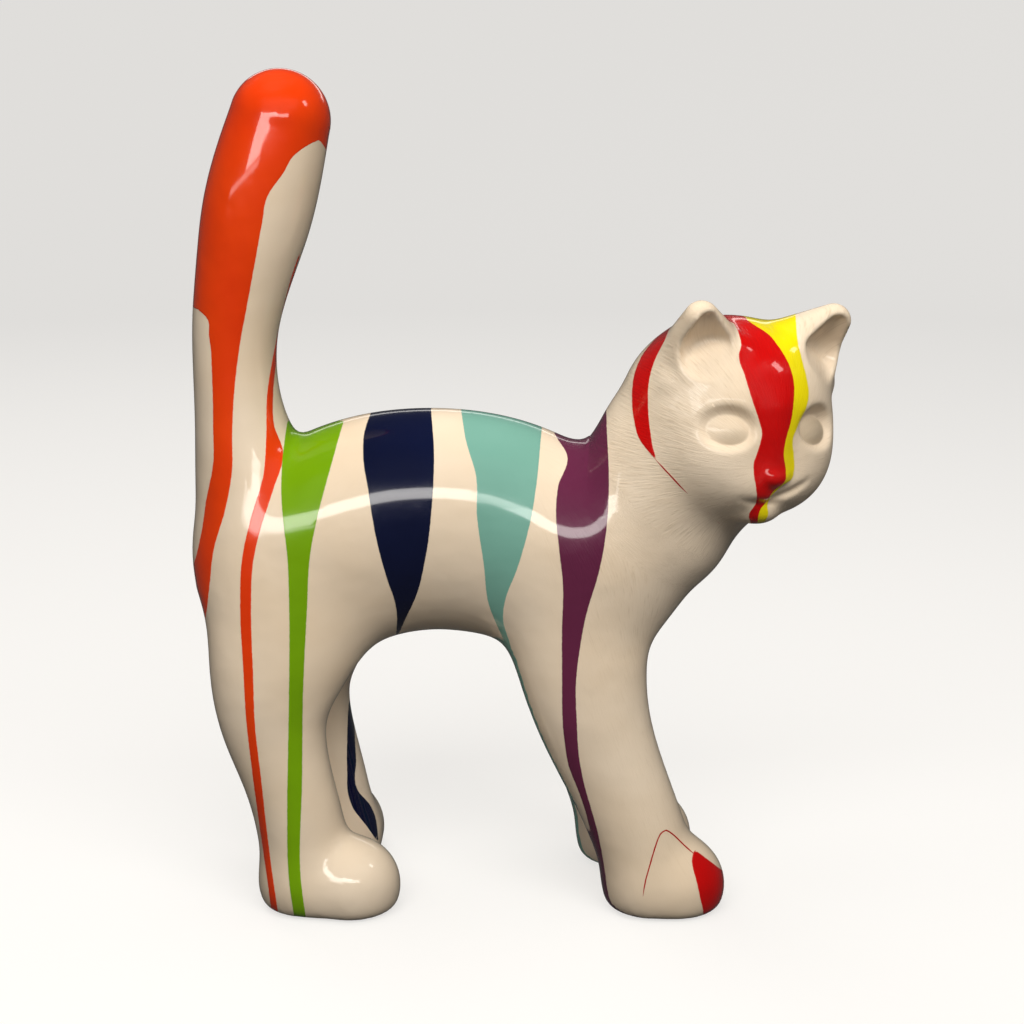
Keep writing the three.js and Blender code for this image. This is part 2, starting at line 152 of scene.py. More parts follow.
class Tube:  # an oval tube along the smooth cubic curve of its sections
    reach = 30
    curves = (
        lambda u: ((1 - u) ** 3 / 6, (3 * u ** 3 - 6 * u ** 2 + 4) / 6,
                   (-3 * u ** 3 + 3 * u ** 2 + 3 * u + 1) / 6, u ** 3 / 6),
        lambda u: (-(1 - u) ** 2 / 2, (3 * u ** 2 - 4 * u) / 2, (-3 * u ** 2 + 2 * u + 1) / 2, u ** 2 / 2),
        lambda u: (1 - u, 3 * u - 2, 1 - 3 * u, u),
    )

    def __init__(self, sections):
        s = np.array(sections, float)
        self.knots = np.vstack([2 * s[0] - s[1], s, 2 * s[-1] - s[-2]])
        self.spans = len(s) - 1
        widest = s[:, 3:].max(1)[:, None]
        self.low = (s[:, :3] - widest).min(0)
        self.high = (s[:, :3] + widest).max(0)
        self.steps = np.linspace(0, self.spans, 3 * self.spans + 1)
        self.course = self.at(self.steps, 0)[:, :3]

    def at(self, t, order):
        i = np.minimum(t.astype(int), self.spans - 1)
        weights = self.curves[order]((t - i)[:, None])
        return sum(w * self.knots[i + j] for j, w in enumerate(weights))

    def distance(self, p):
        away = np.linalg.norm(np.maximum(np.maximum(self.low - p, p - self.high), 0), axis=1)
        near = away < self.reach
        if not near.any():
            return away
        q = p[near]
        best = np.full(len(q), np.inf)
        t = np.zeros(len(q))
        for k in range(len(self.steps) - 1):
            a, edge = self.course[k], self.course[k + 1] - self.course[k]
            h = np.clip((q - a) @ edge / (edge @ edge), 0, 1)
            d = ((q - a - h[:, None] * edge) ** 2).sum(1)
            less = d < best
            best[less] = d[less]
            t[less] = (k + h[less]) / 3
        for _ in range(2):
            first, second = self.at(t, 1)[:, :3], self.at(t, 2)[:, :3]
            r = q - self.at(t, 0)[:, :3]
            speed = (first * first).sum(1)
            bend = np.maximum(speed - (r * second).sum(1), 0.4 * speed)
            t = np.clip(t + np.clip((r * first).sum(1) / bend, -0.4, 0.4), 0, self.spans)
        s = self.at(t, 0)
        r = q - s[:, :3]
        reach = np.sqrt((r[:, 0] ** 2 + r[:, 2] ** 2) / s[:, 3] ** 2 + r[:, 1] ** 2 / s[:, 4] ** 2)
        away[near] = (reach - 1) * np.minimum(s[:, 3], s[:, 4])
        return away


def headAxes():
    yaw, pitch, roll = (math.radians(headTurn[name]) for name in ("yaw", "pitch", "roll"))
    forward = np.array([math.cos(yaw) * math.cos(pitch), math.sin(yaw) * math.cos(pitch), -math.sin(pitch)])
    levelLeft = np.array([-math.sin(yaw), math.cos(yaw), 0])
    levelUp = np.cross(forward, levelLeft)
    left = levelLeft * math.cos(roll) - levelUp * math.sin(roll)
    up = levelUp * math.cos(roll) + levelLeft * math.sin(roll)
    return np.stack([forward, left, up])


axesOfHead = headAxes()


def inHead(p):
    return (p - headCentre) @ axesOfHead.T


def fromHead(q):
    return headCentre + np.asarray(q, float) @ axesOfHead


ears = {
    "cone": ((1, 24, 26), (19.5, 38.5, 55.2), 26, 9),
    "scoop": ((25, 35, 38), (26, 37.5, 53), 14.5, 6),
    "fill": ((16, 14, 36), (7, 42, 20), 10, 8),  # the brow that closes the hollow below
}
eye = {
    "centre": (36, 25.5, -3.5),
    "turn": 28,  # degrees outwards
    "socket": ((6.4, 0, 8), (13.5, 16.8, 11.5)),
    "ball": ((-7, -0.5, 0.5), (8, 14.2, 10.2)),
}
# a crease from below the nose up over its left cheek
noseFold = {"start": -32.5, "rise": 0.45, "depth": 1.5, "half": 2.6}


def eyeFrame(m):
    d = m - np.array(eye["centre"])
    turn = math.radians(eye["turn"])
    out = d[:, 0] * math.cos(turn) + d[:, 1] * math.sin(turn)
    across = d[:, 0] * math.sin(turn) - d[:, 1] * math.cos(turn)
    return np.stack([out, across, d[:, 2]], 1)


def head(q):  # q is forward, left and up from the middle of the head
    m = np.stack([q[:, 0], np.abs(q[:, 1]), q[:, 2]], 1)
    f, side, u = m.T
    d = ellipsoid(q, (-3, 0, 7), (45, 50, 44.5))
    d = join(d, ellipsoid(m, (8, 19, -15), (33, 27, 28)), 24)
    d = join(d, ellipsoid(q, (15, 0, -27), (26, 32, 22)), 18)
    d = join(d, cut(roundCone(m, *ears["cone"]), roundCone(m, *ears["scoop"]), 5), 7)
    d = join(d, roundCone(m, *ears["fill"]), 6)
    d = join(d, ellipsoid(m, (27, 8, -25), (17, 15, 12)), 12)  # muzzle
    d = join(d, roundCone(q, (33, 0, 12), (39, 0, -15.5), 9, 7), 10)  # bridge of the nose
    d = join(d, ellipsoid(q, (41.5, 0, -20.5), (8, 8.8, 6.2)), 3)  # nose
    d = join(d, ellipsoid(m, (33, 6.5, -30), (10, 9, 6.5)), 4)  # lips
    d = join(d, ellipsoid(q, (28, 0, -41), (12, 12, 8)), 7)  # chin
    left = q[:, 1]
    mouthPart = np.clip((f - 14) / 12, 0, 1) * np.clip((19 - side) / 10, 0, 1) * np.clip((8 - left) / 6, 0, 1)
    d = d + mouthPart * np.exp(-((u + 35 - 0.008 * side * side) / 2.4) ** 2)
    foldPart = np.clip((f - 20) / 10, 0, 1) * np.clip((left + 2) / 4, 0, 1) * np.clip((22 - left) / 9, 0, 1)
    crease = (u - noseFold["start"] - noseFold["rise"] * left) / noseFold["half"]
    d = d + noseFold["depth"] * foldPart * np.exp(-crease * crease)
    g = eyeFrame(m)
    d = cut(d, ellipsoid(g, *eye["socket"]), 5)
    return join(d, ellipsoid(g, *eye["ball"]), 0.8)


def headInPlace(p):
    away = np.linalg.norm(p - headCentre, axis=1) - 85
    near = away < 25
    away[near] = head(inHead(p[near]))
    return away


def legShape(leg):
    placed = [(x + leg["stride"] * (1 - (z / legTop) ** leg["bend"]), leg["side"] * out, z, tall, wide)
              for x, out, z, tall, wide in leg["sections"]]
    heel, toe = placed[-1][:2], leg["toe"]
    height, tall, wide = paw["height"], paw["halfHeight"], paw["halfWidth"]
    middle = ((heel[0] + toe[0]) / 2, (heel[1] + toe[1]) / 2)
    foot = [
        (*heel, height, tall - 1, wide - 1.5),
        (*middle, height, tall - 0.5, wide - 0.5),
        (*toe, height, tall, wide),
    ]
    return Tube(placed), Tube(foot)


trunk, tail, neck = Tube(trunkSections), Tube(tailSections), Tube(neckSections)
limbs = [legShape(leg) for leg in legs]


def cat(p):  # distance to the surface, below zero inside
    body = join(trunk.distance(p), tail.distance(p), 10)
    body = join(body, neck.distance(p), 16)
    body = join(body, ellipsoid(p, chest["centre"], chest["radii"]), 14)
    near = np.minimum(body, 30)
    lift = np.zeros(len(p))
    for leg, foot in limbs:
        limb = join(leg.distance(p), foot.distance(p), 14)
        lift += ((near - join(near, limb, 24)) / 30) ** 8
    whole = join(near - 30 * lift ** 0.125, headInPlace(p), 12)
    return cut(whole, p[:, 2], 8)


def slopeOf(p, d, step=0.05):
    return np.stack([cat(p + step * axis) - d for axis in np.eye(3)], 1) / step


def settle(p, turns=2):
    for _ in range(turns):
        d = cat(p)
        slope = slopeOf(p, d)
        steep = np.maximum((slope * slope).sum(1), 0.2)
        p = p - np.clip((d / steep)[:, None] * slope, -1, 1)
    return p


def surfaceNets(low, high, cell, block):
    count = np.ceil((np.array(high) - low) / cell / block).astype(int) * block + 1
    starts = np.stack(np.meshgrid(*[np.arange(0, n - 1, block) for n in count], indexing="ij"), -1)
    starts = starts.reshape(-1, 3)
    middle = low + (starts + block / 2) * cell
    starts = starts[np.abs(cat(middle)) < block * cell * 1.5]
    offsets = np.stack(np.meshgrid(*[np.arange(block + 1)] * 3, indexing="ij"), -1).reshape(-1, 3)
    spots = (starts[:, None] + offsets).reshape(-1, 3)
    strides = np.array([count[1] * count[2], count[2], 1])
    values = np.full(int(np.prod(count)), 1e3)
    known = np.zeros(len(values), bool)
    indices = np.unique(spots @ strides)
    known[indices] = True
    where = np.stack(np.unravel_index(indices, count), 1)
    values[indices] = cat(low + where * cell)
    cells = np.unique((starts[:, None] + offsets[(offsets < block).all(1)]).reshape(-1, 3) @ strides)
    corners = np.array([[n >> 2 & 1, n >> 1 & 1, n & 1] for n in range(8)])
    d = values[cells[:, None] + corners @ strides]
    mixed = (d < 0).any(1) & (d >= 0).any(1)
    cells, d = cells[mixed], d[mixed]
    total, crossed = np.zeros((len(cells), 3)), np.zeros(len(cells))
    for a in range(8):
        for bit in (1, 2, 4):
            b = a | bit
            if b == a:
                continue
            across = (d[:, a] < 0) != (d[:, b] < 0)
            t = d[across, a] / (d[across, a] - d[across, b])
            total[across] += corners[a] + t[:, None] * (corners[b] - corners[a])
            crossed[across] += 1
    base = np.stack(np.unravel_index(cells, count), 1)
    points = low + (base + total / crossed[:, None]) * cell
    pointOf = np.full(len(values), -1)
    pointOf[cells] = np.arange(len(cells))
    triangles = []
    for axis in range(3):
        step, one, two = strides[axis], strides[(axis + 1) % 3], strides[(axis + 2) % 3]
        inner = indices[((where > 0) & (where < count - 1)).all(1)]
        inner = inner[known[inner + step]]
        here, there = values[inner] < 0, values[inner + step] < 0
        for turned in (False, True):
            at = inner[(here != there) & (here == (not turned))]
            quad = [pointOf[at - one - two], pointOf[at - two], pointOf[at], pointOf[at - one]]
            if turned:
                quad = quad[::-1]
            triangles += [np.stack([quad[0], quad[1], quad[2]], 1), np.stack([quad[0], quad[2], quad[3]], 1)]
    return points, np.concatenate(triangles)


def splitWhere(points, triangles, chosen):
    # Every edge whose two ends are chosen gets a middle, and each triangle is cut to fit.
    edges = np.stack([triangles, np.roll(triangles, -1, 1)], -1)
    keys = np.sort(edges, -1).reshape(-1, 2)
    marked = chosen[keys].all(1)
    unique, inverse = np.unique(keys[marked], axis=0, return_inverse=True)
    middleOf = np.full(len(keys), -1)
    middleOf[marked] = len(points) + inverse.reshape(-1)
    middleOf = middleOf.reshape(-1, 3)
    points = np.concatenate([points, points[unique].mean(1)])
    pattern = (middleOf >= 0) @ np.array([1, 2, 4])
    out = [triangles[pattern == 0]]
    for turn, (single, double) in enumerate(((1, 3), (2, 6), (4, 5))):
        for which, kind in ((single, 1), (double, 2)):
            rows = pattern == which
            a, b, c = np.roll(triangles[rows], -turn, 1).T
            m, n, _ = np.roll(middleOf[rows], -turn, 1).T
            if kind == 1:
                out += [np.stack([a, m, c], 1), np.stack([m, b, c], 1)]
            else:
                out += [np.stack([m, b, n], 1), np.stack([a, m, n], 1), np.stack([a, n, c], 1)]
    rows = pattern == 7
    a, b, c = triangles[rows].T
    m, n, o = middleOf[rows].T
    out += [np.stack(t, 1) for t in ((a, m, o), (m, b, n), (o, n, c), (m, n, o))]
    return points, np.concatenate(out)


def evened(points, triangles):
    edges = np.concatenate([triangles[:, [0, 1]], triangles[:, [1, 2]], triangles[:, [2, 0]]])
    total = np.zeros_like(points)
    for axis in range(3):
        total[:, axis] = np.bincount(edges[:, 0], points[edges[:, 1], axis], len(points))
    count = np.bincount(edges[:, 0], minlength=len(points))
    mean = total / count[:, None]
    free = points[:, 2] > 0.4
    return np.where(free[:, None], 0.5 * points + 0.5 * mean, points)


def makeShape():
    points, triangles = surfaceNets((-196, -84, -6), (190, 84, 462), fineness["cell"], fineness["block"])
    print("surface nets:", len(triangles), "triangles")
    points = settle(points)
    for _ in range(fineness["evenings"]):
        points = settle(evened(points, triangles), 1)
    nearHead = np.linalg.norm(points - headCentre, axis=1) < fineness["headReach"]
    points, triangles = splitWhere(points, triangles, nearHead)
    points = settle(points)
    eyes = [fromHead((eye["centre"][0], s * eye["centre"][1], eye["centre"][2])) for s in (-1, 1)]
    spots = eyes + [fromHead((44, 0, -24)), fromHead((40, 0, -36))]
    closest = np.min([np.linalg.norm(points - spot, axis=1) for spot in spots], axis=0)
    points, triangles = splitWhere(points, triangles, closest < fineness["faceReach"])
    points = settle(points)
    for _ in range(fineness["evenings"]):
        points = settle(evened(points, triangles), 1)
    points[points[:, 2] < 0.3, 2] = 0
    print("cast surface:", len(triangles), "triangles")
    return points, triangles


# The view that the paint runs were measured in: millimetres from the middle of the cat's feet,
# and pixels of a square picture.
view = {"height": 455.0, "back": 985.0, "down": 13.8, "focal": 1882.0, "middle": 512, "picture": 1024}


def seenAt(p):
    down = math.radians(view["down"])
    q = p - np.array([0, -view["back"], view["height"]])
    depth = q[:, 1] * math.cos(down) - q[:, 2] * math.sin(down)
    rise = q[:, 1] * math.sin(down) + q[:, 2] * math.cos(down)
    return view["middle"] + view["focal"] * q[:, 0] / depth, view["middle"] - view["focal"] * rise / depth


pixelsPerMm = 1.95
noPaint = -20.0  # the depth, in millimetres, of a place that a run can't reach
turnWidth = 14  # how fast a run ends, in millimetres, where the surface turns out of sight

# Paint runs: the left and right edge of each, as across and down in that picture.
runs = {
    "orangeTail": {
        "colour": "orange",
        "left": [(150, 296), (193, 307), (203, 314), (209, 338), (212, 382), (213, 433), (213, 462),
                 (206, 500), (200, 538), (190, 570), (150, 610)],
        "right": [(420, 126), (340, 134), (319, 140), (302, 149), (282, 175), (268, 195), (262, 223),
                  (254, 267), (247, 305), (240, 343), (235, 382), (232, 433), (232, 469), (225, 510),
                  (214, 548), (209, 589), (205, 620), (196, 650)],
    },
    "orangeTip": {  # round the end of the bare strip
        "colour": "orange",
        "top": 120,
        "left": [(312, 120), (317, 134), (320, 141), (325, 148), (328, 158), (340, 180)],
        "right": [(420, 120), (420, 150), (335, 165), (330, 180)],
    },
    "orangeHip": {
        "colour": "orange",
        "top": 256,
        "taper": 0.12,
        "edge": 0.05,
        "left": [(304, 240), (297, 259), (287, 292), (278, 331), (273, 356), (267, 394), (266, 438),
                 (263, 476), (251, 517), (242, 558), (240, 607), (243, 669), (246, 720), (252, 772),
                 (259, 824), (266, 872), (271, 910)],
        "right": [(306, 240), (299, 259), (290, 292), (281, 325), (277, 356), (273, 394), (274, 425),
                  (283, 452), (273, 490), (261, 527), (253, 562), (251, 607), (253, 676), (255, 727),
                  (261, 779), (266, 824), (272, 872), (278, 913)],
    },
    "green": {
        "colour": "green",
        "top": 421,
        "left": [(287, 422), (283, 452), (281, 486), (283, 521), (287, 555), (289, 607), (289, 676),
                 (288, 744), (287, 813), (289, 882), (294, 917)],
        "right": [(343, 423), (330, 469), (318, 514), (310, 555), (307, 607), (303, 693), (302, 779),
                  (301, 882), (306, 920)],
    },
    "navy": {
        "colour": "navy",
        "left": [(376, 400), (364, 434), (363, 455), (368, 490), (376, 538), (387, 579), (395, 603),
                 (397, 618), (396, 633)],
        "right": [(431, 409), (434, 452), (432, 503), (426, 555), (416, 596), (404, 622), (398, 636)],
    },
    "teal": {
        "colour": "teal",
        "left": [(461, 410), (466, 441), (476, 476), (477, 516), (484, 566), (489, 605), (500, 632),
                 (514, 659)],
        "right": [(541, 437), (537, 480), (530, 523), (517, 569), (505, 601), (503, 619), (510, 644)],
    },
    "purple": {
        "colour": "purple",
        "left": [(557, 438), (567, 455), (558, 487), (556, 512), (559, 548), (563, 587), (562, 630),
                 (562, 673), (564, 737), (569, 767), (578, 790), (585, 810), (591, 833), (596, 850),
                 (600, 868), (604, 887), (610, 903)],
        "right": [(607, 430), (609, 487), (606, 534), (598, 576), (587, 612), (580, 648), (576, 684),
                  (577, 725), (579, 756), (584, 783), (591, 808), (597, 829), (601, 848), (605, 871),
                  (608, 892), (611, 903)],
    },
}
farLegRun = {
    "colour": "navy",
    "left": [(352, 684), (349, 702), (347, 740), (347, 773), (348, 794), (354, 810), (365, 824), (375, 838)],
    "right": [(353, 690), (354, 711), (356, 757), (361, 795), (368, 802), (374, 813), (377, 826), (378, 838)],
}
headRuns = {
    "redFace": {
        "colour": "red",
        "left": [(726, 310), (739, 334), (741, 347), (739, 354), (745, 376), (753, 402), (759, 420),
                 (762, 432), (758, 451), (754, 463), (754, 475), (756, 487), (756, 503), (749, 515),
                 (752, 526)],
        "right": [(742, 316), (753, 324), (767, 333), (779, 347), (788, 362), (794, 382), (794, 400),
                  (791, 422), (786, 440), (784, 455), (786, 471), (784, 483), (775, 490), (768, 500),
                  (761, 509), (757, 526)],
    },
    "yellowFace": {
        "colour": "yellow",
        "left": [(738, 314), (749, 324), (763, 333), (775, 347), (784, 362), (790, 382), (790, 400),
                 (787, 422), (782, 440), (780, 455), (782, 471), (780, 483), (771, 490), (764, 500),
                 (757, 509), (755, 526)],
        "right": [(796, 318), (798, 342), (802, 359), (807, 379), (809, 394), (806, 409), (798, 426),
                  (793, 440), (794, 455), (794, 471), (791, 480), (781, 487), (771, 497), (768, 503),
                  (768, 516), (762, 526)],
    },
    "redBehind": {
        "colour": "red",
        "top": 318,
        "left": [(684, 312), (677, 319), (658, 336), (643, 354), (634, 376), (632, 396), (634, 420),
                 (640, 440), (649, 452), (657, 461), (666, 470)],
        "right": [(686, 313), (674, 323), (664, 342), (655, 360), (649, 382), (648, 402), (650, 428),
                  (654, 451), (658, 462), (666, 470)],
    },
}
toeRun = {
    "colour": "red",
    "top": (698, 852),  # from here its upper edge slopes down to the right
    "left": [(697, 846), (693, 854), (692, 862), (694, 872), (697, 883), (700, 897), (703, 910), (704, 922)],
    "right": [(760, 846), (760, 922)],
}
fineLines = [  # thin red lines, over the front paw and behind the jaw
    [(697, 856), (693, 853), (684, 845), (676, 837), (670, 832), (666, 830), (661, 833), (658, 839),
     (654, 851), (650, 865), (646, 879), (644, 889), (643, 897)],
    [(655, 459), (666, 471), (680, 486), (688, 494)],
]


def edgeAt(edge, down):
    u, v = np.array(edge, float).T
    slope = np.gradient(u, v)
    i = np.clip(np.searchsorted(v, down) - 1, 0, len(v) - 2)
    width = v[i + 1] - v[i]
    t = np.clip((down - v[i]) / width, 0, 1)
    curve = ((2 * t ** 3 - 3 * t ** 2 + 1) * u[i] + (t ** 3 - 2 * t ** 2 + t) * width * slope[i]
             + (3 * t ** 2 - 2 * t ** 3) * u[i + 1] + (t ** 3 - t ** 2) * width * slope[i + 1])
    ends = np.where(down < v[0], (down - v[0]) * (u[1] - u[0]) / (v[1] - v[0]), 0)
    ends += np.where(down > v[-1], (down - v[-1]) * (u[-1] - u[-2]) / (v[-1] - v[-2]), 0)
    return curve + ends


def between(run, across, down):  # millimetres inside the run, below zero outside it
    left, right = edgeAt(run["left"], down), edgeAt(run["right"], down)
    return np.minimum(across - left, right - across) / pixelsPerMm


def alongLine(line, across, down):  # millimetres to its left or right, and inside its two ends
    p = np.stack([across, down], 1)
    corners = np.array(line, float)
    edges = np.diff(corners, axis=0)
    lengths = np.linalg.norm(edges, axis=1)
    before = np.concatenate([[0], np.cumsum(lengths)])
    best = np.full(len(p), np.inf)
    side, inside = np.zeros(len(p)), np.zeros(len(p))
    for i, (a, edge, length) in enumerate(zip(corners, edges, lengths)):
        q = p - a
        h = q @ edge / length ** 2
        h = np.clip(h, -np.inf if i == 0 else 0, np.inf if i == len(edges) - 1 else 1)
        r = q - h[:, None] * edge
        distance = np.linalg.norm(r, axis=1)
        less = distance < best
        best[less] = distance[less]
        side[less] = (distance * np.sign(edge[0] * q[:, 1] - edge[1] * q[:, 0]))[less]
        along = before[i] + h * length
        inside[less] = np.minimum(along, before[-1] - along)[less]
    return side / pixelsPerMm, np.minimum(inside, 12 - best) / pixelsPerMm


def paintDepths(points, normals):
    far = np.full(len(points), noPaint)
    depths = {name: far.copy() for name in ("orange", "green", "navy", "teal", "purple", "red", "yellow")}
    x, y, z = points.T
    q = inHead(points)
    onHead = (q[:, 0] * 0.35 + q[:, 2] > -62) & (x > 60) & (np.linalg.norm(q, axis=1) < 92)
    outward = np.where(y < 0, -normals[:, 1], normals[:, 1])
    mirrored = np.stack([x, -np.abs(y), z], 1)
    across, down = seenAt(mirrored)
    # on the left side the runs wander a little away from those on the right
    below = np.clip((down - 430) / 120, 0, 1) * (y > 0)
    across = across + below * (7 * np.sin(down / 61) - 3)
    down = down + (y > 0) * 9 * np.clip((250 - z) / 60, 0, 1) * np.sin(x / 37)
    inner = np.where(x < 0, 0.15 + 0.15 * np.clip((z - 50) / 40, 0, 1), 0.35)
    legInside = np.where(z < 150, (outward + inner) * turnWidth, 20)
    for run in runs.values():
        inside = np.minimum(between(run, across, down), legInside)
        if "top" in run:
            inside = np.minimum(inside, (down - run["top"]) / pixelsPerMm * run.get("taper", 1))
        if "edge" in run:
            inside = np.minimum(inside, np.where(z > 225, (outward + run["edge"]) * turnWidth, 20))
            inside = np.minimum(inside, np.where(y > 0, (z - 118) * 0.1, 20))
        inside = np.where((x > 62) & (z > 200), noPaint, inside)
        depths[run["colour"]] = np.maximum(depths[run["colour"]], inside)
    across, down = seenAt(points)
    toCamera = np.array([0, -view["back"], view["height"]]) - points
    facing = (normals * toCamera).sum(1) / np.linalg.norm(toCamera, axis=1)
    inside = np.minimum(between(farLegRun, across, down), (0.35 - normals[:, 1]) * turnWidth)
    inside = np.where((y > 0) & (z < 130) & (x < -40), inside, noPaint)
    depths["navy"] = np.maximum(depths["navy"], inside)
    capTop = (down - toeRun["top"][1] - 0.75 * (across - toeRun["top"][0])) * 0.8 / pixelsPerMm
    inside = np.minimum(between(toeRun, across, down), capTop)
    inside = np.where((x > 50) & (y < 0) & (z < 70), inside, noPaint)
    depths["red"] = np.maximum(depths["red"], inside)
    side, reach = np.full(len(points), 20.0), far.copy()
    for line in fineLines:
        lineSide, lineReach = alongLine(line, across, down)
        lineReach = np.where(y < 0, np.minimum(lineReach, facing * 10), noPaint)
        closer = lineReach > reach
        side, reach = np.where(closer, lineSide, side), np.maximum(lineReach, reach)
    # a teal drip runs down the back of the front leg, just where the leg turns out of sight
    onBack = np.where((y < 3) & (x > -10) & (x < 110), np.minimum(-normals[:, 0] * 12, 3 - y), noPaint)
    drip = np.minimum(facing + 0.42, 0.42 - facing) * 20 - 0.04 * (150 - z)
    drip = np.minimum(np.minimum(drip, onBack), np.minimum(150 - z, z - 55) * 0.15)
    depths["teal"] = np.maximum(depths["teal"], drip)
    drip = np.minimum(facing + 0.30, 0.42 - facing) * 18 - 0.02 * (62 - z)
    drip = np.minimum(np.minimum(drip, onBack), (46 - z) * 0.15)
    depths["purple"] = np.maximum(depths["purple"], drip)
    onFarLeg = np.where((y > -3) & (x > -10) & (x < 110), np.minimum(-normals[:, 0] * 12, y + 3), noPaint)
    drip = np.minimum(np.minimum(facing + 0.42, 0.36 - facing) * 20, (80 - z) * 0.2)
    depths["teal"] = np.maximum(depths["teal"], np.minimum(drip, onFarLeg))
    for name, run in headRuns.items():
        inside = np.minimum(between(run, across, down), (facing + 0.02) * turnWidth)
        inside = np.minimum(inside, (down - run.get("top", 0)) / pixelsPerMm)
        if name != "redBehind":
            inside = np.minimum(inside, (q[:, 0] + 12) * 0.8)
        inside = np.where(onHead, inside, noPaint)
        depths[run["colour"]] = np.maximum(depths[run["colour"]], inside)
    # over the crown, between and behind the ears, and down the nape
    f, l, u = q.T
    behind = np.minimum((8 - f) * 0.8, 20)
    redCrown = 16 - np.hypot((f + 12) / 1.6, l + 15.5)
    redNape = 9 - 0.09 * (40 - u) - np.abs(l + 10 + 0.05 * u)
    red = np.maximum(np.where(u > 20, redCrown, noPaint), np.where((f < -10) & (u > -34), redNape, noPaint))
    red = np.minimum(red, behind)
    yellowCrown = 14.5 - np.hypot((f + 10) / 1.6, l - 13.5)
    yellowNape = 7 - 0.12 * (40 - u) - np.abs(l - 14)
    yellow = np.maximum(np.where(u > 20, yellowCrown, noPaint), np.where((f < -10) & (u > -12), yellowNape, noPaint))
    yellow = np.minimum(yellow, behind)
    depths["red"] = np.maximum(depths["red"], np.where(onHead, red, noPaint))
    depths["yellow"] = np.maximum(depths["yellow"], np.where(onHead, yellow, noPaint))
    fields = {name + "Paint": depth for name, depth in depths.items()}
    fields.update(lineSide=side, lineReach=reach)
    return fields


def furMap(points):  # how strong the brushed fur is, and its place round and along the hairs
    q = inHead(points)
    f, l, u = q.T
    onHead = np.clip((95 - np.linalg.norm(q, axis=1)) / 20, 0, 1)
    x, y, z = points.T
    onFront = np.clip((x - 5 + 0.3 * (z - 190)) / 60, 0, 1) * np.clip((z - 8) / 40, 0, 1)
    roundHead = np.arctan2(u + 14, l)
    roundLeg = np.arctan2(y + 20, x - 20 - 0.35 * (190 - z))
    fields = {"furStrength": np.maximum(onHead, onFront * 0.9) + 0.06}
    for name, turn in (("furAcross", np.cos), ("furRound", np.sin)):
        fields[name] = 30 * (onHead * turn(roundHead) + (1 - onHead) * turn(roundLeg))
    fields["furAlong"] = onHead * (np.hypot(u + 14, l) - 0.8 * f) * 0.045 + (1 - onHead) * z * 0.06
    m = np.stack([f, np.abs(l), u], 1)
    # how far each point lies from the eyeball: it places the painted shade on the eyes and takes their gloss coat
    # off
    fields["eyeGap"] = np.clip(ellipsoid(eyeFrame(m), *eye["ball"]), 0, 5)
    fields["satin"] = np.clip((f - 2) / 20, 0, 1) * np.clip((88 - np.linalg.norm(q, axis=1)) / 10, 0, 1)
    return fields


def makeMesh(points, triangles):
    low, high = points.min(0), points.max(0)
    target = np.array(cadBox)
    # The shape fills the solid's box exactly, so its place follows from the solid.
    size = (target[1] - target[0]) / ((high - low) * mm)
    placed = target[0] + (points - low) * mm * size
    edge = points[triangles]
    normals = np.zeros_like(points)
    flat = np.cross(edge[:, 1] - edge[:, 0], edge[:, 2] - edge[:, 0])
    for corner in range(3):
        for axis in range(3):
            normals[:, axis] += np.bincount(triangles[:, corner], flat[:, axis], len(points))
    normals /= np.linalg.norm(normals, axis=1, keepdims=True)
    mesh = bpy.data.meshes.new("catBody")
    mesh.vertices.add(len(placed))
    mesh.vertices.foreach_set("co", placed.astype(np.float32).ravel())
    mesh.loops.add(triangles.size)
    mesh.loops.foreach_set("vertex_index", triangles.astype(np.int32).ravel())
    mesh.polygons.add(len(triangles))
    mesh.polygons.foreach_set("loop_start", np.arange(0, triangles.size, 3, dtype=np.int32))
    mesh.update(calc_edges=True)
    mesh.polygons.foreach_set("use_smooth", np.ones(len(triangles), bool))
    fields = paintDepths(points, normals)
    fields.update(furMap(points))
    for name, values in fields.items():
        attribute = mesh.attributes.new(name, "FLOAT", "POINT")
        attribute.data.foreach_set("value", values.astype(np.float32))
    mesh.validate()
    shift = (target.mean(0) - (low + high) / 2 * mm)[:2]
    return mesh, shift


class Value:  # a number that changes over the surface; each expression on it adds a Math node
    def __init__(self, tree, socket):
        self.tree = tree
        self.socket = socket

    def math(self, operation, *items, clamp=False):
        node = self.tree.nodes.new("ShaderNodeMath")
        node.operation = operation
        node.use_clamp = clamp
        for place, item in zip(node.inputs, items):
            if isinstance(item, Value):
                self.tree.links.new(item.socket, place)
            else:
                place.default_value = item
        return Value(self.tree, node.outputs[0])

    def __add__(self, other):
        return self.math("ADD", self, other)

    def __radd__(self, other):
        return self.math("ADD", other, self)

    def __sub__(self, other):
        return self.math("SUBTRACT", self, other)

    def __rsub__(self, other):
        return self.math("SUBTRACT", other, self)

    def __mul__(self, other):
        return self.math("MULTIPLY", self, other)

    def __rmul__(self, other):
        return self.math("MULTIPLY", other, self)

    def clamped(self):
        return self.math("ADD", self, 0, clamp=True)


